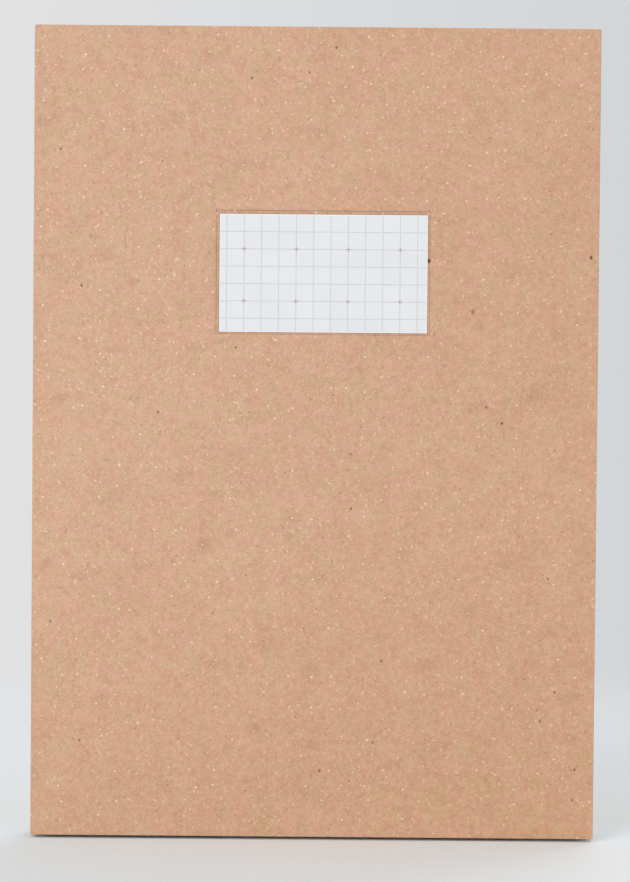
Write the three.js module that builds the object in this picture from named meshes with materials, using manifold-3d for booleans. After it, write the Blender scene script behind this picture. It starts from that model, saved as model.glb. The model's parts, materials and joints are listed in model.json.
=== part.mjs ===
// A sewn notebook with two bare kraft boards, flush-cut edges and its thread left showing at the spine.
// Millimetres. It stands on its tail edge: +Z runs to the head, the spine is at -X, the front faces -Y.
// The origin is on the surface that it stands on, under the middle of the book.

import * as THREE from 'three';
import { mergeVertices } from 'three/addons/utils/BufferGeometryUtils.js';
import Module from 'manifold-3d';

const wasm = await Module();
wasm.setup();

// Cover boards
const coverWidth = 163;
const coverHeight = 234;
const boardThickness = 2;
const cornerRadius = 0.6;

// Label, and the panel pressed into the front board around it
const labelWidth = 60;
const labelHeight = 34;
const labelThickness = 0.12;
const labelFromSpine = 53.6;
const labelFromHead = 53.9;
const panelDepth = 0.3;
const panelMarginSpineSide = 0.9;
const panelMarginForeEdge = 0.7;
const panelMarginHead = 1;
const panelMarginTail = 0.6;
const glueGap = 0.03;

// Paper: sections of nested folded sheets, with an endpaper at each end of the book
const sheetThickness = 0.09;
const sheetsPerSection = 4;
const sectionCount = 9;
const endpaperThickness = 0.16;
const layerGap = 0.05;
const foldGap = 0.005;
const spreadLength = 4;

// Sewing thread, and the stations along the fold where it goes in and out
const threadDiameter = 0.32;
const threadBendRadius = 0.3;
const threadGap = 0.05;
const channelClearance = 0.035;
const holeClearance = 0.16;
const endStationInset = 14;
const threadEndLength = 5;
const stitchLength = 16;
const stitchCount = 3;

// Fineness of the round forms
const foldArcSegments = 2;
const threadArcSegments = 3;
const holeSides = 4;
const cornerArcSegments = 1;
const cutOverrun = 1;

// A section is as thick as its fold: the sheets lie close around the thread there, and the room that the
// thread takes is spread as air between the leaves.
const channelRadius = threadDiameter / 2 + channelClearance;
const foldRadius = channelRadius + sheetsPerSection * sheetThickness + (sheetsPerSection - 1) * foldGap;
const sectionThickness = 2 * foldRadius;
const leavesPerSection = 2 * sheetsPerSection;
const leafGap = (sectionThickness - leavesPerSection * sheetThickness) / (leavesPerSection - 1);

// The thread runs at these distances from the spine, outside the folds and inside them.
const threadOutsideX = -(threadDiameter / 2 + threadGap);
const threadInsideX = foldRadius;
const spineX = -(coverWidth - threadDiameter - threadGap) / 2;

// Finishes
const kraftBoard = () => new THREE.MeshStandardMaterial({ color: 0xd0a888, roughness: 0.92, metalness: 0 });
const labelPaper = () => new THREE.MeshStandardMaterial({ color: 0xe8eaec, roughness: 0.8, metalness: 0 });
const pagePaper = () => new THREE.MeshStandardMaterial({ color: 0xf0eee8, roughness: 0.88, metalness: 0 });
const endPaper = () => new THREE.MeshStandardMaterial({ color: 0xf2f0ea, roughness: 0.85, metalness: 0 });
const linenThread = () => new THREE.MeshStandardMaterial({ color: 0xeee8da, roughness: 0.7, metalness: 0 });

// A closed geometry as a solid that can be cut.
function solidFrom(geometry) {
  const bare = geometry.clone();
  bare.deleteAttribute('normal');
  bare.deleteAttribute('uv');
  const merged = mergeVertices(bare);
  return new wasm.Manifold(new wasm.Mesh({
    numProp: 3,
    vertProperties: merged.attributes.position.array,
    triVerts: Uint32Array.from(merged.index.array),
  }));
}

function geometryFrom(solid) {
  const { vertProperties, triVerts } = solid.getMesh();
  const geometry = new THREE.BufferGeometry();
  geometry.setAttribute('position', new THREE.BufferAttribute(vertProperties, 3));
  geometry.setIndex(new THREE.BufferAttribute(triVerts, 1));
  geometry.computeVertexNormals();
  return geometry;
}

function cut(geometry, cutters) {
  const body = cutters.reduce((rest, cutter) => rest.subtract(solidFrom(cutter)), solidFrom(geometry));
  return geometryFrom(body);
}

// An upright plate the size of the cover: its outer face at y = 0, its spine edge at x = 0.
function coverSizedPlate(thickness) {
  const near = cornerRadius;
  const farX = coverWidth - cornerRadius;
  const farZ = coverHeight - cornerRadius;
  const outline = new THREE.Shape();
  outline.absarc(near, near, cornerRadius, Math.PI, 1.5 * Math.PI);
  outline.absarc(farX, near, cornerRadius, 1.5 * Math.PI, 2 * Math.PI);
  outline.absarc(farX, farZ, cornerRadius, 0, 0.5 * Math.PI);
  outline.absarc(near, farZ, cornerRadius, 0.5 * Math.PI, Math.PI);
  const plate = new THREE.ExtrudeGeometry(outline, {
    depth: thickness,
    bevelEnabled: false,
    curveSegments: cornerArcSegments,
  });
  plate.rotateX(Math.PI / 2);
  plate.translate(0, thickness, 0);
  return plate;
}

function frontBoard() {
  const panelWidth = labelWidth + panelMarginSpineSide + panelMarginForeEdge;
  const panelHeight = labelHeight + panelMarginHead + panelMarginTail;
  const panelCentreX = labelFromSpine - panelMarginSpineSide + panelWidth / 2;
  const panelCentreZ = coverHeight - labelFromHead + panelMarginHead - panelHeight / 2;
  const panel = new THREE.BoxGeometry(panelWidth, panelDepth + cutOverrun, panelHeight);
  panel.translate(panelCentreX, (panelDepth - cutOverrun) / 2, panelCentreZ);
  return cut(coverSizedPlate(boardThickness), [panel]);
}

// The label lies on the floor of the pressed panel.
function label() {
  const sheet = new THREE.BoxGeometry(labelWidth, labelThickness, labelHeight);
  sheet.translate(
    labelFromSpine + labelWidth / 2,
    panelDepth - glueGap - labelThickness / 2,
    coverHeight - labelFromHead - labelHeight / 2,
  );
  return sheet;
}

// Heights where the thread crosses the fold: an end station, the two ends of each stitch, an end station.
function stationHeights() {
  const lowest = endStationInset;
  const highest = coverHeight - endStationInset;
  const pitch = (highest - lowest) / (stitchCount + 1);
  const heights = [lowest];
  for (let stitch = 1; stitch <= stitchCount; stitch += 1) {
    const middle = lowest + stitch * pitch;
    heights.push(middle - stitchLength / 2, middle + stitchLength / 2);
  }
  heights.push(highest);
  return heights;
}

// One folded sheet seen from the head, where sheet 0 is the outermost of its section. It is folded round
// the thread's channel, and its two leaves spread to their even places over a short length.
function sheetOutline(sheet) {
  const outerAtFold = foldRadius - sheet * (sheetThickness + foldGap);
  const innerAtFold = outerAtFold - sheetThickness;
  const outerY = sectionThickness / 2 - sheet * (sheetThickness + leafGap);
  const innerY = outerY - sheetThickness;
  const spreadX = foldRadius + spreadLength;
  const outline = new THREE.Shape();
  outline.moveTo(coverWidth, outerY);
  outline.lineTo(spreadX, outerY);
  outline.absarc(foldRadius, 0, outerAtFold, 0.5 * Math.PI, 1.5 * Math.PI);
  outline.lineTo(spreadX, -outerY);
  outline.lineTo(coverWidth, -outerY);
  outline.lineTo(coverWidth, -innerY);
  outline.lineTo(spreadX, -innerY);
  outline.absarc(foldRadius, 0, innerAtFold, 1.5 * Math.PI, 0.5 * Math.PI, true);
  outline.lineTo(spreadX, innerY);
  outline.lineTo(coverWidth, innerY);
  outline.closePath();
  return outline;
}

function stationHole(height) {
  const radius = threadDiameter / 2 + holeClearance;
  const length = threadInsideX + cutOverrun;
  const hole = new THREE.CylinderGeometry(radius, radius, length, holeSides);
  hole.rotateZ(Math.PI / 2);
  hole.translate((threadInsideX - cutOverrun) / 2, 0, height);
  return hole;
}

// A folded sheet, pierced through its fold at the stations.
function foldedSheet(sheet) {
  const paper = new THREE.ExtrudeGeometry(sheetOutline(sheet), {
    depth: coverHeight,
    bevelEnabled: false,
    curveSegments: foldArcSegments,
  });
  const pierced = cut(paper, stationHeights().map(stationHole));
  pierced.translate(0, sectionThickness / 2, 0);
  return pierced;
}

// A route through given points, with one ring of the tube at each point.
class RouteThroughPoints extends THREE.Curve {
  constructor(points) {
    super();
    this.points = points;
  }

  getPointAt(share) {
    return this.points[Math.round(share * (this.points.length - 1))].clone();
  }

  getTangentAt(share) {
    const index = Math.round(share * (this.points.length - 1));
    const before = this.points[Math.max(index - 1, 0)];
    const after = this.points[Math.min(index + 1, this.points.length - 1)];
    return after.clone().sub(before).normalize();
  }
}

// Each corner of the route gives way to the start, middle and end of a small arc.
function roundedCorners(corners) {
  const arcMiddle = threadBendRadius * (1 - Math.SQRT1_2);
  const route = [corners[0]];
  for (let index = 1; index < corners.length - 1; index += 1) {
    const back = corners[index - 1].clone().sub(corners[index]).normalize();
    const onward = corners[index + 1].clone().sub(corners[index]).normalize();
    const middle = corners[index].clone().addScaledVector(back, arcMiddle).addScaledVector(onward, arcMiddle);
    route.push(corners[index].clone().addScaledVector(back, threadBendRadius));
    route.push(middle);
    route.push(corners[index].clone().addScaledVector(onward, threadBendRadius));
  }
  route.push(corners[corners.length - 1]);
  return route;
}

// The thread of one section: in at an end station, along the fold, out and in for each stitch on the
// spine, and out again at the other end station, with both ends laid along the spine.
function thread() {
  const y = sectionThickness / 2;
  const stations = stationHeights();
  let sideX = threadOutsideX;
  const corners = [new THREE.Vector3(sideX, y, stations[0] - threadEndLength)];
  for (const height of stations) {
    const otherSideX = sideX === threadOutsideX ? threadInsideX : threadOutsideX;
    corners.push(new THREE.Vector3(sideX, y, height), new THREE.Vector3(otherSideX, y, height));
    sideX = otherSideX;
  }
  corners.push(new THREE.Vector3(sideX, y, stations[stations.length - 1] + threadEndLength));

  const route = roundedCorners(corners);
  const profile = new THREE.Shape();
  profile.absarc(0, 0, threadDiameter / 2, 0, 2 * Math.PI);
  return new THREE.ExtrudeGeometry(profile, {
    extrudePath: new RouteThroughPoints(route),
    steps: route.length - 1,
    curveSegments: threadArcSegments,
  });
}

// A section's sheets, outermost first, and the thread that sews them through their folds.
function sectionPieces(number, sheetGeometries, threadGeometry) {
  const sheets = sheetGeometries.map((geometry, index) => ({
    name: `section_${number}_sheet_${index + 1}`,
    geometry,
    finish: pagePaper,
  }));
  return [...sheets, { name: `thread_${number}`, geometry: threadGeometry, finish: linenThread }];
}

// Each layer of the closed book, from the front board to the rear board, with what lies in that layer.
function bookLayers() {
  const leaf = (name) => ({
    thickness: endpaperThickness,
    pieces: [{ name, geometry: coverSizedPlate(endpaperThickness), finish: endPaper }],
  });
  const board = (name, geometry, ...pieces) => ({
    thickness: boardThickness,
    pieces: [{ name, geometry, finish: kraftBoard }, ...pieces],
  });
  const sheetGeometries = Array.from({ length: sheetsPerSection }, (_, index) => foldedSheet(index));
  const threadGeometry = thread();
  const sections = Array.from({ length: sectionCount }, (_, index) => ({
    thickness: sectionThickness,
    pieces: sectionPieces(index + 1, sheetGeometries, threadGeometry),
  }));
  return [
    board('front_board', frontBoard(), { name: 'label', geometry: label(), finish: labelPaper }),
    leaf('front_pastedown'),
    leaf('front_flyleaf'),
    ...sections,
    leaf('rear_flyleaf'),
    leaf('rear_pastedown'),
    board('rear_board', coverSizedPlate(boardThickness)),
  ];
}

function notebook() {
  const layers = bookLayers();
  const paperAndBoard = layers.reduce((sum, layer) => sum + layer.thickness, 0);
  const bookThickness = paperAndBoard + layerGap * (layers.length - 1);
  const book = new THREE.Group();
  let layerY = -bookThickness / 2;
  for (const layer of layers) {
    for (const { name, geometry, finish } of layer.pieces) {
      const piece = new THREE.Mesh(geometry, finish());
      piece.name = name;
      piece.position.set(spineX, layerY, 0);
      book.add(piece);
    }
    layerY += layer.thickness + layerGap;
  }
  return book;
}

export default notebook();
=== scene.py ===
# The looks of a sewn notebook with kraft boards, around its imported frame. Metres, +Z to the head.

import json
import math
import random
from typing import NamedTuple

import bmesh
import bpy
from mathutils import Matrix, Vector, noise

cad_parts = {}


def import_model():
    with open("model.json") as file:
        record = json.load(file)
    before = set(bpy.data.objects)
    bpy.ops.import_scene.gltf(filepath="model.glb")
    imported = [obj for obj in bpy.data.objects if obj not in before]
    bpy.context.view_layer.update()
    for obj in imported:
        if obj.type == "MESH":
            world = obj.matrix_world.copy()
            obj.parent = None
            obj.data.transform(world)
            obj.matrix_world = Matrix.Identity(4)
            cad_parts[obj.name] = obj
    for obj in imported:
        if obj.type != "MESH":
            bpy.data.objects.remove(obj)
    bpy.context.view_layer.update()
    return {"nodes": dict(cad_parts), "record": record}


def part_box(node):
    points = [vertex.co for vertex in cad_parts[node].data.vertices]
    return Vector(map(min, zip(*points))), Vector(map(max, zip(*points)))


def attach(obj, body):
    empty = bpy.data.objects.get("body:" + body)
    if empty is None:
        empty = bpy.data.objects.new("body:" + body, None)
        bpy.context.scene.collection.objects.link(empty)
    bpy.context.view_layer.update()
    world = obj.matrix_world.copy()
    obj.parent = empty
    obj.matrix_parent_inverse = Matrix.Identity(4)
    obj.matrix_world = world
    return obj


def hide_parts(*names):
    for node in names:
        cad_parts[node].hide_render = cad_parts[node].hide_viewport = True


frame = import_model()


class Line(NamedTuple):
    """A soft line drawn over a colour: half width and softness in millimetres, and strength."""

    half_width: float
    softness: float
    strength: float


class Relief(NamedTuple):
    """A relief too fine for the mesh, which only the light shows. Its depth is in metres."""

    depth: float
    strength: float


class Flecks(NamedTuple):
    """Spots scattered over a board. Sizes in millimetres, turn in degrees.

    They lie on a jittered grid of the given spacing, and a share of its places is taken. small
    and large bound their half widths, and length is a spot's length over its width.
    """

    spacing: float
    share: float
    small: float
    large: float
    length: float
    turn: float
    softness: float
    strength: float
    colour: tuple


class Spot(NamedTuple):
    """One larger fleck of the front cover, in millimetres."""

    from_spine: float
    from_head: float
    half_width: float
    strength: float
    colour: tuple


def corners_of(node):
    """A node's lowest and highest corners."""
    low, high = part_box(node)
    return Vector(low), Vector(high)


MM = 0.001

# Places and names that follow from the frame
BOARD_LOW, BOARD_HIGH = corners_of("front_board")
SPINE_X = BOARD_LOW.x
FORE_X = BOARD_HIGH.x
TAIL_Z = BOARD_LOW.z
HEAD_Z = BOARD_HIGH.z
LABEL_LOW, LABEL_HIGH = corners_of("label")
SECTIONS = sum(name.startswith("thread_") for name in frame["nodes"])
SHEETS = sum(name.startswith("section_1_sheet_") for name in frame["nodes"])
NODES_OF = frame["record"]["behaviour"]["bodies"]
BODY_OF = {node: body for body, nodes in NODES_OF.items() for node in nodes}

# Boards, and the panel pressed into the front one. SHARES say where grid lines cross a rounded edge,
# a round corner and the panel's shoulder.
GRID_STEP = 2.5 * MM
EDGE_ROUNDING = 0.2 * MM
CORNER_RADIUS = 0.6 * MM
PAPER_ROUNDING = 0.02 * MM
EDGE_SHARES = (0.0, 0.1, 0.3, 0.6, 1.0)
CORNER_SHARES = (0.5, 0.75, 1.0)
SHOULDER_SHARES = (-0.5, -0.25, 0.0, 0.25, 0.5)
BOARD_WAVE = 0.04 * MM
BOARD_WAVE_LENGTH = 45 * MM
PANEL_DEPTH = 0.3 * MM
PANEL_SHOULDER = 0.32 * MM
PANEL_MARGIN_SPINE = 0.9 * MM
PANEL_MARGIN_FORE = 0.7 * MM
PANEL_MARGIN_HEAD = 1.0 * MM
PANEL_MARGIN_TAIL = 0.6 * MM
PANEL_LOW = Vector((LABEL_LOW.x - PANEL_MARGIN_SPINE, 0, LABEL_LOW.z - PANEL_MARGIN_TAIL))
PANEL_HIGH = Vector((LABEL_HIGH.x + PANEL_MARGIN_FORE, 0, LABEL_HIGH.z + PANEL_MARGIN_HEAD))

# Ruling printed on the label and the pages. Each RULE place is a crossing of two of its lines, and
# each CROSS place is the middle of one of its crosses.
RULING = 5 * MM
RULE_WIDTH = 0.24 * MM
RULE_SOFTNESS = 0.4
CROSS_PITCH = 3 * RULING
CROSS_SIZE = 1.35 * MM
CROSS_WIDTH = 0.28 * MM
CROSS_SOFTNESS = 0.3
LABEL_RULE = (LABEL_LOW.x + 2.1 * MM, LABEL_HIGH.z - 5.05 * MM)
LABEL_CROSS = (LABEL_LOW.x + 7.1 * MM, LABEL_HIGH.z - 10.05 * MM)
PAGE_RULE = (SPINE_X + 4 * MM, TAIL_Z + 4.5 * MM)
PAGE_CROSS = (SPINE_X + 9 * MM, TAIL_Z + 9.5 * MM)

# Sheets. A leaf is a little thicker than at its pressed fold, so that the leaves nearly touch.
SHEET_THICKNESS = 0.09 * MM
LEAF_BULK = 0.112 * MM
FOLD_GAP = 0.005 * MM
SPREAD_LENGTH = 4 * MM
SPREAD_SHARES = (0.7, 0.4, 0.15)
TRIM_ROUGHNESS = 0.06 * MM
LEAF_WANDER = 0.01 * MM
LEAF_STEPS = 7
FOLD_STEPS = 10
HEIGHT_STEPS = 12

# Sewing: stations where the thread goes through the fold, and the plied thread itself. A hole in a
# fold is HOLE_HALF up, down and to each side, and reaches this far round from the spine.
END_STATION = 14 * MM
STITCH_LENGTH = 16 * MM
STITCHES = 3
HOLE_HALF = 0.24 * MM
HOLE_REACH = 0.6 * MM
THREAD_RADIUS = 0.16 * MM
THREAD_GAP = 0.025 * MM
THREAD_BEND = 0.3 * MM
THREAD_BEND_STEPS = 6
THREAD_END = 5 * MM
PLIES = 3
PLY_SIDES = 4
PLY_DEPTH = 0.16
TWIST_LENGTH = 1.5 * MM
SEEN_STEP = 0.15 * MM
HIDDEN_STEP = 2 * MM

# Floor. The real book leans back, which lifts its front edge off the shelf. This book stands upright,
# and the floor lies a little lower, which leaves the same dark line under the cover. Its paint fades
# out between the solid and the faded radius.
FLOOR_DROP = 0.9 * MM
FLOOR_SOLID = 0.14
FLOOR_FADED = 0.57
FLOOR_RADIUS = 0.6
FLOOR_SEGMENTS = 96
FLOOR_ROUGHNESS = 0.9
FLOOR_SPECULAR = 0.1

# Camera, fitted to the cover's four corners in the photograph's frame of 630 x 882 pixels
PHOTO_WIDTH = 630
PHOTO_HEIGHT = 882
SENSOR_WIDTH = 36
CAMERA_LENS = 200
CAMERA_NEAR = 0.01
CAMERA_PLACE = Vector((0.1 * MM, -1017.7 * MM, 147.5 * MM))
CAMERA_AIM = Vector((0.25 * MM, BOARD_LOW.y, 114.8 * MM))
CAMERA_ROLL = math.radians(0.486)

# Lights, at a level at which a colour comes out about as it is written. The wall is lit on the left
# and has painted shade on the right. Its two colours meet smoothly over the middle of the view, this
# far to each side.
AMBIENT_STRENGTH = 0.56
WALL_BLEND = 0.12
LIGHT_AIM = Vector((0, 0, 0.12))
KEY_PLACE = Vector((-0.9, -1.5, 0.85))
KEY_SIZE = 1.1
KEY_POWER = 15
FILL_PLACE = Vector((1.4, -1.2, 0.7))
FILL_SIZE = 1.6
FILL_POWER = 6
BACK_PLACE = Vector((0.7, 1.7, 1.1))
BACK_SIZE = 1.6
BACK_POWER = 14

# Colours, in sRGB
KRAFT_LIGHT = (228, 191, 163)
KRAFT_DEEP = (190, 149, 119)
KRAFT_PINK = (218, 163, 139)
KRAFT_YELLOW = (208, 173, 137)
KRAFT_EDGE = (190, 150, 118)
# Painted shade in the panel's crease, and a painted shadow beside the label
KRAFT_CREASE_SHADE = (136, 96, 88)
PALE_FLECK = (249, 226, 194)
BROWN_FLECK = (150, 104, 72)
DARK_FLECK = (104, 74, 60)
BLACK_FLECK = (52, 34, 34)
# Painted shade, laid over the front cover towards its lower fore-edge corner
PAINTED_SHADE_TONE = (243, 235, 223)
LABEL_WHITE = (233, 234, 237)
# A painted highlight along the label's edge
LABEL_RIM_HIGHLIGHT = (248, 248, 249)
PAGE_WHITE = (236, 235, 231)
PAGE_EDGE_SHADE = (210, 209, 205)
RULE_GREY = (202, 204, 210)
CROSS_RED = (180, 122, 136)
THREAD_WHITE = (246, 241, 229)
THREAD_SHADE = (212, 207, 195)
FLOOR_GREY = (239, 245, 248)
# The wall: lit on the left, painted shade on the right
WALL_LIT_LEFT = (226, 226, 227)
WALL_SHADED_RIGHT = (210, 213, 215)

# Sizes of the materials' cloudy patterns, in millimetres
KRAFT_CLOUD = 4.5
KRAFT_TOOTH = 0.35
KRAFT_DENT = 2.2
KRAFT_SHINE = 1.1
BOARD_PLY = 0.22
BOARD_FIBRE = 0.6
PAPER_CLOUD = 6
LABEL_CLOUD = 9
PAPER_TOOTH = 0.25
PAPER_SHINE = 0.7
INK_PATCH = 0.8
LEAF_STREAK = 0.35
KNIFE_MARK = 0.6
THREAD_FIBRE = 0.12

# How many times longer than its size a pattern is along each axis
LAYERED = (60, 1, 60)
FIBROUS = (4, 1, 4)
CUT_ACROSS = (1, 30, 1)
ALONG_THREAD = (1, 1, 5)

# The rear board shows another part of the pattern
REAR_SHIFT = (310, 0, 170)

# Shares of a colour in the one under it. A cloud on paper is a few levels darker than the paper, and
# the printed ink varies between its least and its most.
CLOUD_SHARE = 0.4
# Painted shade on the front cover, at its darkest
PAINTED_SHADE_SHARE = 0.375
PAPER_CLOUD_SHARE = 0.55
PAPER_CLOUD_SHADE = 5
BOARD_FIBRE_SHARE = 0.4
CROSS_SHARE = 0.75
# Painted shade between the leaves on their cut edge
LEAF_SHADE_SHARE = 0.8
KNIFE_MARK_SHARE = 0.4
INK_LEAST = 0.55
INK_MOST = 0.95

# Painted shade in the front board's creases, a painted shadow beside the label, and a painted
# highlight on the label's rim
SHOULDER_SHADE_LINE = Line(0.12, 0.1, 0.34)
GAP_SHADOW_LINE = Line(0.12, 0.12, 0.42)
GAP_SHADOW_FROM_LABEL = 0.12
RIM_HIGHLIGHT_LINE = Line(0.25, 0.12, 0.8)

# Fine reliefs
KRAFT_TOOTH_RELIEF = Relief(0.03 * MM, 0.6)
KRAFT_DENT_RELIEF = Relief(0.05 * MM, 0.5)
BOARD_PLY_RELIEF = Relief(0.05 * MM, 0.8)
PAPER_TOOTH_RELIEF = Relief(0.01 * MM, 0.5)
KNIFE_MARK_RELIEF = Relief(0.02 * MM, 0.5)
THREAD_FIBRE_RELIEF = Relief(0.02 * MM, 0.6)

# Roughness. A face with two values varies between them.
KRAFT_ROUGHNESS = (0.86, 0.97)
PAPER_ROUGHNESS = (0.78, 0.9)
BOARD_EDGE_ROUGHNESS = 0.95
PAGE_EDGE_ROUGHNESS = 0.92
THREAD_ROUGHNESS = 0.75

# A larger fleck: its width over its height, and its edge's place and softness as shares of its half
# width
SPOT_SQUASH = 0.7
SPOT_SOLID = 0.8
SPOT_SOFTNESS = 0.4

# The board's grain: size in millimetres and weight
KRAFT_GRAIN = [(0.3, 0.95), (0.6, 0.85), (1.2, 0.7), (2.4, 0.48), (5, 0.36), (12, 0.28), (40, 0.25)]

KRAFT_FLECKS = [
    Flecks(11, 0.4, 0.7, 1.8, 1.6, 20, 0.9, 0.13, BROWN_FLECK),
    Flecks(3.4, 0.4, 0.15, 0.34, 1, 0, 0.6, 0.24, BROWN_FLECK),
    Flecks(2.6, 0.4, 0.06, 0.1, 9, 15, 0.5, 0.24, BROWN_FLECK),
    Flecks(2.2, 0.4, 0.06, 0.1, 8, 100, 0.5, 0.28, PALE_FLECK),
    Flecks(2.6, 0.4, 0.06, 0.1, 10, 55, 0.5, 0.26, PALE_FLECK),
    Flecks(1.2, 0.45, 0.1, 0.22, 1.3, 40, 0.6, 0.28, PALE_FLECK),
    Flecks(2.4, 0.42, 0.12, 0.26, 1.5, 130, 0.6, 0.45, PALE_FLECK),
    Flecks(4.6, 0.38, 0.16, 0.28, 1.2, 0, 0.5, 0.8, PALE_FLECK),
    Flecks(5.4, 0.32, 0.1, 0.2, 1.2, 70, 0.4, 0.65, DARK_FLECK),
]

FRONT_SPOTS = [
    Spot(114.0, 67.0, 0.5, 0.95, BLACK_FLECK),
    Spot(160.7, 65.7, 0.48, 0.8, BLACK_FLECK),
    Spot(126.8, 81.6, 0.65, 0.75, BROWN_FLECK),
    Spot(86.8, 5.9, 0.34, 0.85, DARK_FLECK),
    Spot(79.1, 13.1, 0.3, 0.8, DARK_FLECK),
    Spot(62.6, 14.8, 0.36, 0.85, DARK_FLECK),
    Spot(7.7, 35.6, 0.34, 0.8, DARK_FLECK),
    Spot(13.9, 74.9, 0.36, 0.95, DARK_FLECK),
    Spot(58.5, 92.4, 0.32, 0.8, DARK_FLECK),
    Spot(36.2, 111.2, 0.34, 0.85, DARK_FLECK),
    Spot(130.9, 109.1, 0.34, 0.8, DARK_FLECK),
    Spot(135.5, 113.7, 0.36, 0.95, DARK_FLECK),
    Spot(91.9, 122.9, 0.3, 0.75, DARK_FLECK),
    Spot(92.1, 138.7, 0.34, 0.85, DARK_FLECK),
    Spot(149.2, 158.5, 0.34, 0.8, DARK_FLECK),
    Spot(5.4, 172.0, 0.32, 0.8, DARK_FLECK),
    Spot(101.3, 182.7, 0.36, 0.8, DARK_FLECK),
    Spot(151.5, 191.4, 0.36, 0.8, DARK_FLECK),
    Spot(147.3, 199.8, 0.32, 0.8, DARK_FLECK),
    Spot(14.1, 206.4, 0.32, 0.8, DARK_FLECK),
    Spot(99.0, 206.3, 0.32, 0.8, DARK_FLECK),
    Spot(157.5, 213.8, 0.36, 0.8, DARK_FLECK),
    Spot(83.6, 214.7, 0.38, 0.8, DARK_FLECK),
    Spot(157.0, 222.7, 0.32, 0.8, DARK_FLECK),
]


def linear(colour):
    """An sRGB colour of 0 to 255 as a linear one with alpha."""
    shares = [value / 255 for value in colour]
    return tuple(s / 12.92 if s <= 0.04045 else ((s + 0.055) / 1.055) ** 2.4 for s in shares) + (1.0,)


def smooth_step(value):
    share = min(max(value, 0.0), 1.0)
    return share * share * (3 - 2 * share)


# Materials


class Nodes:
    """A node tree, with short ways to add and join nodes. Lengths in it are in millimetres."""

    def __init__(self, tree):
        self.tree = tree

    def add(self, kind, **settings):
        node = self.tree.nodes.new(kind)
        for key, value in settings.items():
            setattr(node, key, value)
        return node

    def put(self, socket, value):
        """Sets a socket to a number, or joins another node's output to it."""
        if isinstance(value, bpy.types.NodeSocket):
            self.tree.links.new(value, socket)
        else:
            socket.default_value = value

    def math(self, operation, first, second=0.0):
        node = self.add("ShaderNodeMath", operation=operation)
        self.put(node.inputs[0], first)
        self.put(node.inputs[1], second)
        return node.outputs[0]

    def vector_math(self, operation, vector, numbers):
        node = self.add("ShaderNodeVectorMath", operation=operation)
        self.put(node.inputs[0], vector)
        node.inputs[1].default_value = numbers
        return node.outputs[0]

    def split(self, vector):
        node = self.add("ShaderNodeSeparateXYZ")
        self.put(node.inputs[0], vector)
        return node.outputs

    def length(self, across, along):
        """The length of a way that goes so far across and so far along."""
        squares = self.math("ADD", self.math("POWER", across, 2), self.math("POWER", along, 2))
        return self.math("SQRT", squares)

    def ramp(self, value, low, high, from_value=0.0, to_value=1.0):
        """Maps low..high smoothly to from_value..to_value."""
        node = self.add("ShaderNodeMapRange", interpolation_type="SMOOTHSTEP")
        self.put(node.inputs["Value"], value)
        self.put(node.inputs["From Min"], low)
        self.put(node.inputs["From Max"], high)
        self.put(node.inputs["To Min"], from_value)
        self.put(node.inputs["To Max"], to_value)
        return node.outputs["Result"]

    def mix(self, share, first, second, blend="MIX"):
        node = self.add("ShaderNodeMix", data_type="RGBA", blend_type=blend)
        self.put(node.inputs["Factor"], share)
        self.put(node.inputs["A"], first)
        self.put(node.inputs["B"], second)
        return node.outputs["Result"]

    def tinted(self, colour, mask, strength, tone):
        """Lays a tone over a colour where the mask is 1."""
        return self.mix(self.math("MULTIPLY", mask, strength), colour, linear(tone))

    def within(self, distance, half_width, softness):
        """1 where a distance is below half_width."""
        return self.ramp(distance, half_width - softness, half_width + softness, 1.0, 0.0)

    def lined(self, colour, distance, line, tone):
        """Draws a Line over a colour where a distance is small."""
        mask = self.within(distance, line.half_width, line.softness)
        return self.tinted(colour, mask, line.strength, tone)

    def mixed_shaders(self, share, first, second):
        node = self.add("ShaderNodeMixShader")
        self.put(node.inputs[0], share)
        self.put(node.inputs[1], first)
        self.put(node.inputs[2], second)
        return node.outputs[0]


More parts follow.
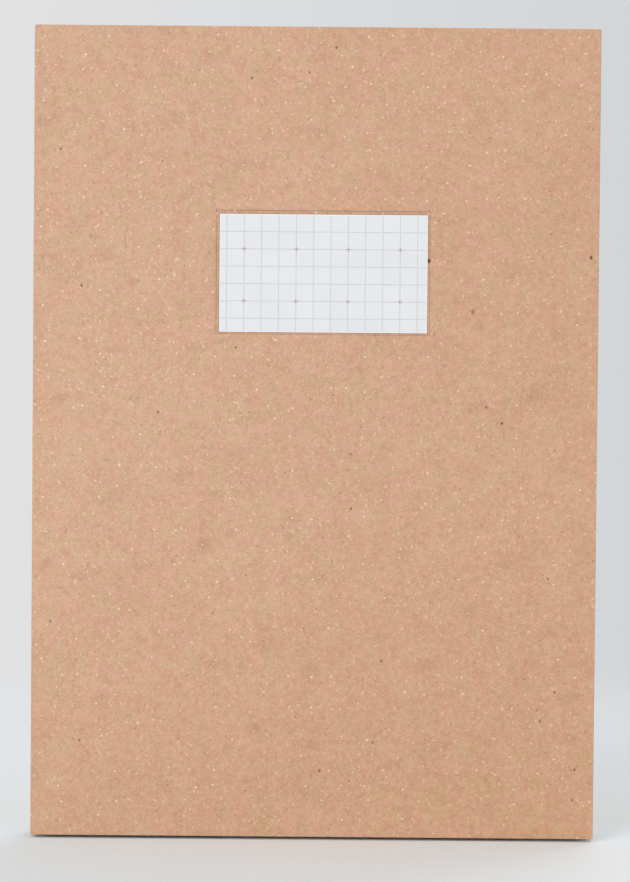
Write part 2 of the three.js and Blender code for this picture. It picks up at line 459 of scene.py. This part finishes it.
class Surface(Nodes):
    """A material's node tree. shift gives it its own part of the patterns."""

    def __init__(self, name, shift=(0, 0, 0)):
        self.material = bpy.data.materials.new(name)
        self.material.use_nodes = True
        super().__init__(self.material.node_tree)
        self.shader = self.tree.nodes["Principled BSDF"]
        metres = self.add("ShaderNodeTexCoord").outputs["Object"]
        self.place = self.vector_math("MULTIPLY", metres, (1 / MM, 1 / MM, 1 / MM))
        self.pattern_place = self.vector_math("ADD", self.place, shift)

    def noise(self, size, detail=2.0, roughness=0.5, stretch=(1, 1, 1)):
        """Cloudy noise of 0 to 1, whose features are about size long, or stretch times that."""
        node = self.add("ShaderNodeTexNoise")
        scale = tuple(1 / (size * share) for share in stretch)
        self.put(node.inputs["Vector"], self.vector_math("MULTIPLY", self.pattern_place, scale))
        self.put(node.inputs["Scale"], 1.0)
        self.put(node.inputs["Detail"], detail)
        self.put(node.inputs["Roughness"], roughness)
        return node.outputs["Fac"]

    def fine_noise(self, size, stretch=(1, 1, 1)):
        """Noise with small rough detail in it."""
        return self.noise(size, detail=3, roughness=0.7, stretch=stretch)

    def grain(self, layers):
        """The sum of several noises, about 0.5."""
        total = 0.5
        for size, weight in layers:
            swing = self.math("SUBTRACT", self.noise(size, detail=1), 0.5)
            total = self.math("ADD", self.math("MULTIPLY", swing, weight), total)
        return total

    def flecks(self, row):
        """A mask of the scattered spots of one Flecks row, across the board's plane."""
        turned = self.add("ShaderNodeVectorRotate", rotation_type="Y_AXIS")
        self.put(turned.inputs["Vector"], self.pattern_place)
        self.put(turned.inputs["Angle"], math.radians(row.turn))
        x, _, z = self.split(turned.outputs[0])
        flat = self.add("ShaderNodeCombineXYZ")
        self.put(flat.inputs["X"], self.math("DIVIDE", x, row.spacing * row.length))
        self.put(flat.inputs["Y"], self.math("DIVIDE", z, row.spacing))
        cells = self.add("ShaderNodeTexVoronoi", feature="F1", voronoi_dimensions="2D")
        self.put(cells.inputs["Vector"], flat.outputs[0])
        self.put(cells.inputs["Scale"], 1.0)
        chance = self.add("ShaderNodeSeparateColor")
        self.put(chance.inputs[0], cells.outputs["Color"])
        size = self.ramp(chance.outputs["Red"], 0.0, 1.0, row.small, row.large)
        distance = self.math("MULTIPLY", cells.outputs["Distance"], row.spacing)
        reach = self.math("DIVIDE", distance, size)
        taken = self.math("LESS_THAN", chance.outputs["Green"], row.share)
        return self.math("MULTIPLY", self.within(reach, 1.0, row.softness), taken)

    def spot(self, row):
        """A mask of one larger fleck of the front cover, a little taller than wide."""
        x, _, z = self.split(self.place)
        across = self.math("SUBTRACT", x, SPINE_X / MM + row.from_spine)
        up = self.math("SUBTRACT", z, HEAD_Z / MM - row.from_head)
        distance = self.length(across, self.math("MULTIPLY", up, SPOT_SQUASH))
        return self.within(distance, SPOT_SOLID * row.half_width, SPOT_SOFTNESS * row.half_width)

    def inside_frame(self, low, high):
        """Distance inwards from a rectangle's outline in the board's plane, negative outside it."""
        x, _, z = self.split(self.place)
        inwards = []
        for value, start, end in ((x, low.x / MM, high.x / MM), (z, low.z / MM, high.z / MM)):
            inwards += [self.math("SUBTRACT", value, start), self.math("SUBTRACT", end, value)]
        across = self.math("MINIMUM", inwards[0], inwards[1])
        up = self.math("MINIMUM", inwards[2], inwards[3])
        return self.math("MINIMUM", across, up)

    def line_distances(self, first, pitch):
        """Distances from the nearest upright and the nearest level line of an even ruling.

        first is where one upright and one level line lie. It and the pitch are in metres.
        """
        x, _, z = self.split(self.place)
        distances = []
        for value, start in zip((x, z), first):
            turns = self.math("DIVIDE", self.math("SUBTRACT", value, start / MM), pitch / MM)
            share = self.math("FRACT", self.math("ADD", turns, 0.5))
            off = self.math("ABSOLUTE", self.math("SUBTRACT", share, 0.5))
            distances.append(self.math("MULTIPLY", off, pitch / MM))
        return distances

    def ruling(self, first):
        """A mask of the printed lines, with the ink a little uneven."""
        across, up = self.line_distances(first, RULING)
        half = 0.5 * RULE_WIDTH / MM
        lines = self.within(self.math("MINIMUM", across, up), half, RULE_SOFTNESS * half)
        ink = self.ramp(self.noise(INK_PATCH), 0.25, 0.6, INK_LEAST, INK_MOST)
        return self.math("MULTIPLY", lines, ink)

    def crosses(self, first):
        """A mask of the small crosses at every third crossing of the lines."""
        across, up = self.line_distances(first, CROSS_PITCH)
        half = 0.5 * CROSS_WIDTH / MM
        arm = 0.5 * CROSS_SIZE / MM
        strokes = [
            self.math(
                "MULTIPLY",
                self.within(off, half, CROSS_SOFTNESS * half),
                self.within(along, arm, CROSS_SOFTNESS * arm),
            )
            for off, along in ((across, up), (up, across))
        ]
        return self.math("MAXIMUM", *strokes)

    def bump(self, height, relief, below=None):
        """The normal of a face with a Relief on it, over the relief below where there is one."""
        node = self.add("ShaderNodeBump")
        self.put(node.inputs["Height"], height)
        self.put(node.inputs["Distance"], relief.depth)
        self.put(node.inputs["Strength"], relief.strength)
        if below:
            self.put(node.inputs["Normal"], below)
        return node.outputs["Normal"]

    def finished(self, colour, roughness, normal, specular, sheen=0.0):
        """The material, once its colour, roughness and relief are joined to its shader."""
        self.put(self.shader.inputs["Base Color"], colour)
        self.put(self.shader.inputs["Roughness"], roughness)
        self.put(self.shader.inputs["Normal"], normal)
        self.put(self.shader.inputs["Specular IOR Level"], specular)
        self.put(self.shader.inputs["Sheen Weight"], sheen)
        return self.material


def kraft_colour(surface):
    """Recycled board: grain, pink and yellow clouds, pale and brown flecks and short fibres."""
    colour = surface.mix(surface.grain(KRAFT_GRAIN), linear(KRAFT_DEEP), linear(KRAFT_LIGHT))
    clouds = surface.ramp(surface.noise(KRAFT_CLOUD), 0.35, 0.65)
    cloud_colour = surface.mix(clouds, linear(KRAFT_YELLOW), linear(KRAFT_PINK))
    colour = surface.mix(CLOUD_SHARE, colour, cloud_colour)
    for row in KRAFT_FLECKS:
        colour = surface.tinted(colour, surface.flecks(row), row.strength, row.colour)
    return colour


def painted_shade(surface, colour):
    """Painted shade: the cover darkens towards its fore-edge, and from its middle down to its tail.
    """
    x, _, z = surface.split(surface.place)
    middle = (TAIL_Z + HEAD_Z) / 2
    across = surface.ramp(x, SPINE_X / MM, FORE_X / MM, 0.0, PAINTED_SHADE_SHARE)
    down = surface.ramp(z, TAIL_Z / MM, middle / MM, PAINTED_SHADE_SHARE, 0.0)
    share = surface.math("ADD", across, down)
    return surface.mix(share, colour, linear(PAINTED_SHADE_TONE), blend="MULTIPLY")


def crease_shaded(surface, colour):
    """The pressed panel: painted shade along its crease and a painted shadow beside the label."""
    shoulder = surface.math("ABSOLUTE", surface.inside_frame(PANEL_LOW, PANEL_HIGH))
    # The crease is painted shade, partly the pressed board's own darker line
    colour = surface.lined(colour, shoulder, SHOULDER_SHADE_LINE, KRAFT_CREASE_SHADE)
    outside_label = surface.math("MULTIPLY", surface.inside_frame(LABEL_LOW, LABEL_HIGH), -1.0)
    # A painted shadow of the label's edge, just outside it
    gap = surface.math("ABSOLUTE", surface.math("SUBTRACT", outside_label, GAP_SHADOW_FROM_LABEL))
    return surface.lined(colour, gap, GAP_SHADOW_LINE, KRAFT_CREASE_SHADE)


def kraft_finished(surface, colour):
    """A board's face: fine tooth over shallow dents, and hardly any shine."""
    tooth = surface.bump(surface.fine_noise(KRAFT_TOOTH), KRAFT_TOOTH_RELIEF)
    relief = surface.bump(surface.noise(KRAFT_DENT), KRAFT_DENT_RELIEF, below=tooth)
    roughness = surface.ramp(surface.noise(KRAFT_SHINE), 0.3, 0.7, *KRAFT_ROUGHNESS)
    return surface.finished(colour, roughness, relief, specular=0.25)


def kraft_front():
    surface = Surface("kraft_front")
    colour = kraft_colour(surface)
    for row in FRONT_SPOTS:
        colour = surface.tinted(colour, surface.spot(row), row.strength, row.colour)
    return kraft_finished(surface, crease_shaded(surface, painted_shade(surface, colour)))


def kraft_rear():
    surface = Surface("kraft_rear", shift=REAR_SHIFT)
    return kraft_finished(surface, kraft_colour(surface))


def kraft_edge():
    """The cut edge of a board, where its plies show as fine streaks."""
    surface = Surface("kraft_cut_edge")
    plies = surface.noise(BOARD_PLY, stretch=LAYERED)
    colour = surface.mix(surface.ramp(plies, 0.3, 0.7), linear(KRAFT_EDGE), linear(KRAFT_YELLOW))
    fibres = surface.noise(BOARD_FIBRE, detail=4, roughness=0.7, stretch=FIBROUS)
    colour = surface.tinted(colour, surface.ramp(fibres, 0.6, 0.7), BOARD_FIBRE_SHARE, DARK_FLECK)
    relief = surface.bump(plies, BOARD_PLY_RELIEF)
    return surface.finished(colour, BOARD_EDGE_ROUGHNESS, relief, specular=0.2)


def paper_colour(surface, white, cloud_size):
    """Paper white with faint clouds."""
    clouds = surface.ramp(surface.noise(cloud_size, detail=3), 0.3, 0.7, 0.0, PAPER_CLOUD_SHARE)
    darker = tuple(value - PAPER_CLOUD_SHADE for value in white)
    return surface.mix(clouds, linear(white), linear(darker))


def printed(surface, colour, first_line, first_cross):
    """The printed ruling, with its small red crosses."""
    colour = surface.tinted(colour, surface.ruling(first_line), 1.0, RULE_GREY)
    return surface.tinted(colour, surface.crosses(first_cross), CROSS_SHARE, CROSS_RED)


def paper_finished(surface, colour):
    """A leaf's face: a fine tooth and a little shine."""
    tooth = surface.bump(surface.fine_noise(PAPER_TOOTH), PAPER_TOOTH_RELIEF)
    roughness = surface.ramp(surface.noise(PAPER_SHINE), 0.3, 0.7, *PAPER_ROUGHNESS)
    return surface.finished(colour, roughness, tooth, specular=0.3)


def label_paper():
    """Ruled paper, with a painted highlight along the label's edge."""
    surface = Surface("label_paper")
    colour = paper_colour(surface, LABEL_WHITE, LABEL_CLOUD)
    colour = printed(surface, colour, LABEL_RULE, LABEL_CROSS)
    # The painted highlight along the rim
    inwards = surface.inside_frame(LABEL_LOW, LABEL_HIGH)
    return paper_finished(surface, surface.lined(colour, inwards, RIM_HIGHLIGHT_LINE, LABEL_RIM_HIGHLIGHT))


def page_paper():
    surface = Surface("page_paper")
    colour = paper_colour(surface, PAGE_WHITE, PAPER_CLOUD)
    return paper_finished(surface, printed(surface, colour, PAGE_RULE, PAGE_CROSS))


def endpaper():
    surface = Surface("endpaper")
    return paper_finished(surface, paper_colour(surface, PAGE_WHITE, PAPER_CLOUD))


def paper_edge():
    """The leaves' cut edge: painted shade in streaks between leaves, and faint knife marks across
    them.
    """
    surface = Surface("page_cut_edge")
    leaves = surface.noise(LEAF_STREAK, roughness=0.7, stretch=LAYERED)
    knife = surface.fine_noise(KNIFE_MARK, CUT_ACROSS)
    streaks = surface.ramp(leaves, 0.35, 0.65)
    marks = surface.ramp(knife, 0.55, 0.75)
    # Painted shade between the leaves
    colour = surface.tinted(linear(PAGE_WHITE), streaks, LEAF_SHADE_SHARE, PAGE_EDGE_SHADE)
    colour = surface.tinted(colour, marks, KNIFE_MARK_SHARE, PAGE_EDGE_SHADE)
    relief = surface.bump(knife, KNIFE_MARK_RELIEF)
    return surface.finished(colour, PAGE_EDGE_ROUGHNESS, relief, specular=0.2)


def linen():
    """Undyed sewing thread."""
    surface = Surface("linen_thread")
    fibres = surface.fine_noise(THREAD_FIBRE, ALONG_THREAD)
    colour = surface.mix(surface.ramp(fibres, 0.35, 0.7), linear(THREAD_WHITE), linear(THREAD_SHADE))
    relief = surface.bump(fibres, THREAD_FIBRE_RELIEF)
    return surface.finished(colour, THREAD_ROUGHNESS, relief, specular=0.3, sheen=0.25)


# Meshes


def piece_from(name, vertices, faces, materials, material_of_face=None):
    """A new smooth object with outward faces. material_of_face numbers each face's material."""
    mesh = bpy.data.meshes.new(name)
    mesh.from_pydata(vertices, [], faces)
    for material in materials:
        mesh.materials.append(material)
    if material_of_face:
        mesh.polygons.foreach_set("material_index", material_of_face)
    shaped = bmesh.new()
    shaped.from_mesh(mesh)
    bmesh.ops.recalc_face_normals(shaped, faces=shaped.faces)
    shaped.to_mesh(mesh)
    shaped.free()
    mesh.polygons.foreach_set("use_smooth", [True] * len(mesh.polygons))
    piece = bpy.data.objects.new(name, mesh)
    bpy.context.scene.collection.objects.link(piece)
    return piece


def stand_for(piece, node):
    """The piece takes the place of a node and rides on that node's body."""
    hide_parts(node)
    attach(piece, BODY_OF[node])


def face_lines(low, high, rounding, corner, extra):
    """Places of grid lines across a face: even ones, and finer ones at its edges and the extras."""
    steps = max(1, round((high - low) / GRID_STEP))
    even = [low + (high - low) * step / steps for step in range(1, steps)]
    edge = [rounding * share for share in EDGE_SHARES]
    edge += [corner * share for share in CORNER_SHARES if corner > rounding]
    fine = [low + step for step in edge] + [high - step for step in edge] + extra
    kept = [line for line in even if min(abs(line - other) for other in fine) > 0.4 * rounding]
    return sorted(fine + kept)


def round_corner(x, z, low, high, radius):
    """Moves a point of a square corner onto the round corner's own grid."""
    centre_x = min(max(x, low.x + radius), high.x - radius)
    centre_z = min(max(z, low.z + radius), high.z - radius)
    across = abs(x - centre_x)
    up = abs(z - centre_z)
    if across == 0 or up == 0:
        return x, z
    scale = max(across, up) / math.hypot(across, up)
    return centre_x + (x - centre_x) * scale, centre_z + (z - centre_z) * scale


def edge_fall(x, z, low, high, rounding):
    """How far a rounded edge falls back at a point of the face."""
    nearest = min(x - low.x, high.x - x, z - low.z, high.z - z)
    if nearest >= rounding:
        return 0.0
    return rounding - math.sqrt(rounding ** 2 - (rounding - nearest) ** 2)


def grid_outline(columns, rows):
    """The numbers of a grid's outermost points, in order round it."""
    outline = list(range(columns))
    outline += [row * columns + columns - 1 for row in range(1, rows)]
    outline += [(rows - 1) * columns + column for column in range(columns - 2, -1, -1)]
    outline += [row * columns for row in range(rows - 2, 0, -1)]
    return outline


def flat_depth(_x, _z):
    """The depth of a face with nothing pressed into it."""
    return 0.0


def plate_faces(columns, rows):
    """Faces of two grids of points that are joined round their outline, and their materials."""
    back = columns * rows
    faces = []
    for row in range(rows - 1):
        for first in range(row * columns, row * columns + columns - 1):
            quad = (first, first + 1, first + columns + 1, first + columns)
            faces += [quad, tuple(back + index for index in quad)]
    material_of_face = [0] * len(faces)
    outline = grid_outline(columns, rows)
    for here, onward in zip(outline, outline[1:] + outline[:1]):
        faces.append((here, onward, back + onward, back + here))
        material_of_face.append(1)
    return faces, material_of_face


def plate(node, materials, rounding, corner, depth_at=flat_depth, extra_x=(), extra_z=()):
    """A flat piece with rounded edges and corners. depth_at(x, z) presses in its -Y face.

    Its faces have the first material and its edges the second.
    """
    low, high = corners_of(node)
    lines_x = face_lines(low.x, high.x, rounding, corner, list(extra_x))
    lines_z = face_lines(low.z, high.z, rounding, corner, list(extra_z))
    front = []
    back = []
    for z in lines_z:
        for x in lines_x:
            fall = edge_fall(x, z, low, high, rounding)
            place_x, place_z = round_corner(x, z, low, high, corner)
            front.append((place_x, low.y + fall + depth_at(x, z), place_z))
            back.append((place_x, high.y - fall, place_z))
    faces, material_of_face = plate_faces(len(lines_x), len(lines_z))
    piece = piece_from(f"{node}_dressed", front + back, faces, materials, material_of_face)
    stand_for(piece, node)


def front_depth(x, z):
    """The front face: faintly uneven, never outwards, with the panel pressed into it."""
    inside = min(x - PANEL_LOW.x, PANEL_HIGH.x - x, z - PANEL_LOW.z, PANEL_HIGH.z - z)
    pressed = smooth_step(inside / PANEL_SHOULDER + 0.5)
    wave = 0.5 + 0.5 * noise.noise(Vector((x, 0.0, z)) / BOARD_WAVE_LENGTH)
    return PANEL_DEPTH * pressed + BOARD_WAVE * wave * (1 - pressed)


def shoulder_lines(edges):
    """Grid lines over the panel's shoulders."""
    offsets = [PANEL_SHOULDER * share for share in SHOULDER_SHARES]
    return [edge + offset for edge in edges for offset in offsets]


def boards():
    edge = kraft_edge()
    across = shoulder_lines((PANEL_LOW.x, PANEL_HIGH.x))
    up = shoulder_lines((PANEL_LOW.z, PANEL_HIGH.z))
    front = [kraft_front(), edge]
    rear = [kraft_rear(), edge]
    plate("front_board", front, EDGE_ROUNDING, CORNER_RADIUS, front_depth, across, up)
    plate("rear_board", rear, EDGE_ROUNDING, CORNER_RADIUS)


def label(edge):
    plate("label", [label_paper(), edge], PAPER_ROUNDING, PAPER_ROUNDING)


def endpapers(edge):
    face = endpaper()
    for node in ("front_pastedown", "front_flyleaf", "rear_flyleaf", "rear_pastedown"):
        plate(node, [face, edge], PAPER_ROUNDING, CORNER_RADIUS)


# Sections


def station_heights():
    """Where the thread goes through the fold: end stations, and both ends of each stitch between."""
    lowest = TAIL_Z + END_STATION
    highest = HEAD_Z - END_STATION
    pitch = (highest - lowest) / (STITCHES + 1)
    middles = [lowest + (number + 1) * pitch for number in range(STITCHES)]
    ends = [middle + side * STITCH_LENGTH / 2 for middle in middles for side in (-1, 1)]
    return [lowest] + ends + [highest]


def leaf_points(half, outer_fold, outer_leaf):
    """Outer and inner points of a sheet's +Y leaf seen from the head, from fore-edge to fold."""
    leaf_start = SPINE_X + half + SPREAD_LENGTH
    points = []
    for step in range(LEAF_STEPS + 1):
        x = FORE_X + (leaf_start - FORE_X) * step / LEAF_STEPS
        points.append(((x, outer_leaf), (x, outer_leaf - LEAF_BULK)))
    for share in SPREAD_SHARES:
        x = SPINE_X + half + SPREAD_LENGTH * share
        y = outer_fold + (outer_leaf - outer_fold) * smooth_step(share)
        thickness = SHEET_THICKNESS + (LEAF_BULK - SHEET_THICKNESS) * smooth_step(share)
        points.append(((x, y), (x, y - thickness)))
    return points


def fold_points(half, outer_fold):
    """Outer and inner points round a sheet's fold."""
    points = []
    for step in range(FOLD_STEPS + 1):
        angle = math.pi * (0.5 + step / FOLD_STEPS)
        points.append(tuple(
            (SPINE_X + half + radius * math.cos(angle), radius * math.sin(angle))
            for radius in (outer_fold, outer_fold - SHEET_THICKNESS)
        ))
    return points


def sheet_path(half, sheet):
    """A folded sheet seen from the head: outer and inner points, from fore-edge to fore-edge."""
    leaves = 2 * SHEETS
    gap = (2 * half - leaves * SHEET_THICKNESS) / (leaves - 1)
    outer_fold = half - sheet * (SHEET_THICKNESS + FOLD_GAP)
    outer_leaf = half - sheet * (SHEET_THICKNESS + gap)
    upper = leaf_points(half, outer_fold, outer_leaf)
    lower = [tuple((x, -y) for x, y in pair) for pair in reversed(upper)]
    return upper + fold_points(half, outer_fold) + lower


def sheet_heights(stations):
    even = [TAIL_Z + (HEAD_Z - TAIL_Z) * step / HEIGHT_STEPS for step in range(HEIGHT_STEPS + 1)]
    holes = [height + side * HOLE_HALF for height in stations for side in (-1, 1)]
    return sorted(even + holes)


def is_hole(path, column, low_z, high_z, stations):
    """Whether a cell of the sheet's grid lies in one of the thread's holes."""
    (x, y), (next_x, next_y) = path[column][0], path[column + 1][0]
    at_fold = x + next_x < 2 * (SPINE_X + HOLE_REACH) and abs(y + next_y) < 2 * HOLE_HALF
    return at_fold and any(abs((low_z + high_z) / 2 - station) < HOLE_HALF for station in stations)


def trimmed(x, y, z, trim):
    """A point of a leaf, moved by the leaf's own slack, and inwards by the uneven trim."""
    out = max(0.0, (x - SPINE_X - SPREAD_LENGTH) / (FORE_X - SPINE_X - SPREAD_LENGTH))
    height = (z - TAIL_Z) / (HEAD_Z - TAIL_Z)
    y += LEAF_WANDER * out * noise.noise(Vector((trim["phase"], 3 * height, 2 * out)))
    x -= TRIM_ROUGHNESS * trim["fore"] * out ** 4
    if z == TAIL_Z:
        z += 0.5 * TRIM_ROUGHNESS * trim["tail"] * out
    if z == HEAD_Z:
        z -= TRIM_ROUGHNESS * trim["head"] * out
    return x, y, z


def grid_shell(cells, columns, rows):
    """Faces of a sheet that is two grids with its cells, joined round every edge and hole."""
    back = columns * rows
    faces = []
    material_of_face = []
    for column, row in sorted(cells):
        first = row * columns + column
        corners = (first, first + 1, first + columns + 1, first + columns)
        faces += [corners, tuple(back + index for index in corners)]
        material_of_face += [0, 0]
        neighbours = ((column, row - 1), (column + 1, row), (column, row + 1), (column - 1, row))
        for here, onward, neighbour in zip(corners, corners[1:] + corners[:1], neighbours):
            if neighbour not in cells:
                faces.append((here, onward, back + onward, back + here))
                material_of_face.append(1)
    return faces, material_of_face


def folded_sheet(name, half, centre_y, sheet, seed, stations, materials):
    """One sheet with its two leaves and its station holes."""
    chance = random.Random(seed)
    trims = [{key: chance.random() for key in ("fore", "head", "tail")} for _ in range(2)]
    for trim in trims:
        trim["phase"] = 40 * chance.random()
    path = sheet_path(half, sheet)
    heights = sheet_heights(stations)
    vertices = []
    for layer in (0, 1):
        for z in heights:
            for column, pair in enumerate(path):
                x, y = pair[layer]
                trim = trims[1 if column < len(path) / 2 else 0]
                vertices.append(trimmed(x, centre_y + y, z, trim))
    cells = {
        (column, row)
        for column in range(len(path) - 1)
        for row in range(len(heights) - 1)
        if not is_hole(path, column, heights[row], heights[row + 1], stations)
    }
    faces, material_of_face = grid_shell(cells, len(path), len(heights))
    return piece_from(name, vertices, faces, materials, material_of_face)


def add_run(points, end, step):
    """Adds points along a straight run to its end."""
    start = points[-1].copy()
    count = max(1, math.ceil((end - start).length / step))
    points.extend(start.lerp(end, number / count) for number in range(1, count + 1))


def add_bend(points, before, corner, after):
    """Adds points round a corner of the thread's route."""
    back = (before - corner).normalized()
    onward = (after - corner).normalized()
    centre = corner + THREAD_BEND * (back + onward)
    for step in range(1, THREAD_BEND_STEPS + 1):
        angle = step / THREAD_BEND_STEPS * math.pi / 2
        points.append(centre - THREAD_BEND * (onward * math.cos(angle) + back * math.sin(angle)))


def thread_route(stations, half, centre_y):
    """Points along a thread, in and out through the fold. Where it shows they lie close together."""
    outside = SPINE_X - THREAD_RADIUS - THREAD_GAP
    inside = SPINE_X + half
    corners = [Vector((outside, centre_y, stations[0] - THREAD_END))]
    for height in stations:
        other = inside if corners[-1].x < SPINE_X else outside
        corners += [Vector((corners[-1].x, centre_y, height)), Vector((other, centre_y, height))]
    corners.append(Vector((corners[-1].x, centre_y, stations[-1] + THREAD_END)))
    points = [corners[0]]
    for before, corner, after in zip(corners, corners[1:], corners[2:]):
        step = SEEN_STEP if corner.x < SPINE_X else HIDDEN_STEP
        add_run(points, corner + THREAD_BEND * (before - corner).normalized(), step)
        add_bend(points, before, corner, after)
    add_run(points, corners[-1], SEEN_STEP)
    return points


def thread(name, points, material):
    """Plied thread: a tube whose section has a lobe for each ply and turns along the route."""
    sides = PLY_SIDES * PLIES
    across = Vector((0, 1, 0))
    vertices = []
    run = 0.0
    for before, point, after in zip(points[:1] + points, points, points[1:] + points[-1:]):
        run += (point - before).length
        normal = (after - before).normalized().cross(across)
        for side in range(sides):
            angle = 2 * math.pi * side / sides
            lobe = math.cos(PLIES * (angle - 2 * math.pi * run / TWIST_LENGTH))
            radius = THREAD_RADIUS * (1 - PLY_DEPTH + PLY_DEPTH * lobe)
            vertices.append(point + radius * (math.cos(angle) * across + math.sin(angle) * normal))
    faces = []
    for ring in range(0, len(vertices) - sides, sides):
        for side in range(sides):
            here = ring + side
            onward = ring + (side + 1) % sides
            faces.append((here, onward, onward + sides, here + sides))
    faces += [tuple(range(sides)), tuple(range(len(vertices) - sides, len(vertices)))]
    return piece_from(name, vertices, faces, [material])


def sections(edge):
    stations = station_heights()
    sheet_materials = [page_paper(), edge]
    thread_material = linen()
    for number in range(1, SECTIONS + 1):
        low, high = corners_of(f"section_{number}_sheet_1")
        centre_y = (low.y + high.y) / 2
        half = (high.y - low.y) / 2
        for sheet in range(SHEETS):
            node = f"section_{number}_sheet_{sheet + 1}"
            seed = number * SHEETS + sheet
            name = f"{node}_dressed"
            piece = folded_sheet(name, half, centre_y, sheet, seed, stations, sheet_materials)
            stand_for(piece, node)
        node = f"thread_{number}"
        piece = thread(f"{node}_dressed", thread_route(stations, half, centre_y), thread_material)
        stand_for(piece, node)


# Stage, lights and camera


def floor_paint():
    """Pale paint that fades to nothing towards the floor's rim."""
    surface = Surface("floor_paint")
    surface.put(surface.shader.inputs["Base Color"], linear(FLOOR_GREY))
    surface.put(surface.shader.inputs["Roughness"], FLOOR_ROUGHNESS)
    surface.put(surface.shader.inputs["Specular IOR Level"], FLOOR_SPECULAR)
    x, y, _ = surface.split(surface.place)
    fade = surface.ramp(surface.length(x, y), FLOOR_SOLID / MM, FLOOR_FADED / MM)
    clear = surface.add("ShaderNodeBsdfTransparent")
    blend = surface.mixed_shaders(fade, surface.shader.outputs[0], clear.outputs[0])
    surface.put(surface.tree.nodes["Material Output"].inputs["Surface"], blend)
    return surface.material


def floor():
    mesh = bpy.data.meshes.new("floor")
    disc = bmesh.new()
    bmesh.ops.create_circle(disc, cap_ends=True, segments=FLOOR_SEGMENTS, radius=FLOOR_RADIUS)
    disc.to_mesh(mesh)
    disc.free()
    mesh.materials.append(floor_paint())
    ground = bpy.data.objects.new("floor", mesh)
    ground.location.z = TAIL_Z - FLOOR_DROP
    bpy.context.scene.collection.objects.link(ground)


def world():
    """Even soft light. Past the floor the view shows the pale wall, with painted shade to the right.
    """
    sky = bpy.data.worlds.new("studio")
    bpy.context.scene.world = sky
    sky.use_nodes = True
    nodes = Nodes(sky.node_tree)
    light = nodes.tree.nodes["Background"]
    nodes.put(light.inputs["Color"], (1, 1, 1, 1))
    nodes.put(light.inputs["Strength"], AMBIENT_STRENGTH)
    direction = nodes.add("ShaderNodeTexCoord")
    x, _, _ = nodes.split(direction.outputs["Generated"])
    wall = nodes.add("ShaderNodeBackground")
    across = nodes.ramp(x, -WALL_BLEND, WALL_BLEND)
    nodes.put(wall.inputs["Color"], nodes.mix(across, linear(WALL_LIT_LEFT), linear(WALL_SHADED_RIGHT)))
    rays = nodes.add("ShaderNodeLightPath").outputs
    mirrored = nodes.math("MAXIMUM", rays["Is Glossy Ray"], rays["Is Transmission Ray"])
    seen = nodes.math("MAXIMUM", rays["Is Camera Ray"], mirrored)
    mixed = nodes.mixed_shaders(seen, light.outputs[0], wall.outputs[0])
    nodes.put(nodes.tree.nodes["World Output"].inputs["Surface"], mixed)


def soft_lamp(name, place, size, power):
    data = bpy.data.lights.new(name, "AREA")
    data.shape = "SQUARE"
    data.size = size
    data.energy = power
    lamp = bpy.data.objects.new(name, data)
    lamp.location = place
    lamp.rotation_euler = (LIGHT_AIM - place).to_track_quat("-Z", "Y").to_euler()
    bpy.context.scene.collection.objects.link(lamp)


def lights():
    """Daylight from the upper left, filled from the right, and enough behind to show the back."""
    soft_lamp("key", KEY_PLACE, KEY_SIZE, KEY_POWER)
    soft_lamp("fill", FILL_PLACE, FILL_SIZE, FILL_POWER)
    soft_lamp("back", BACK_PLACE, BACK_SIZE, BACK_POWER)


def camera():
    """The photograph's view: nearly square to the cover, a little above its middle."""
    data = bpy.data.cameras.new("camera")
    data.lens = CAMERA_LENS
    data.sensor_fit = "VERTICAL"
    data.sensor_height = SENSOR_WIDTH * PHOTO_HEIGHT / PHOTO_WIDTH
    data.clip_start = CAMERA_NEAR
    forward = (CAMERA_AIM - CAMERA_PLACE).normalized()
    level = forward.cross(Vector((0, 0, 1))).normalized()
    right = Matrix.Rotation(-CAMERA_ROLL, 3, forward) @ level
    turn = Matrix((right, right.cross(forward), -forward)).transposed()
    eye = bpy.data.objects.new("camera", data)
    eye.matrix_world = Matrix.Translation(CAMERA_PLACE) @ turn.to_4x4()
    bpy.context.scene.collection.objects.link(eye)
    bpy.context.scene.camera = eye


bpy.context.scene.view_settings.view_transform = "Standard"
camera()
page_edge = paper_edge()
boards()
label(page_edge)
endpapers(page_edge)
sections(page_edge)
floor()
world()
lights()
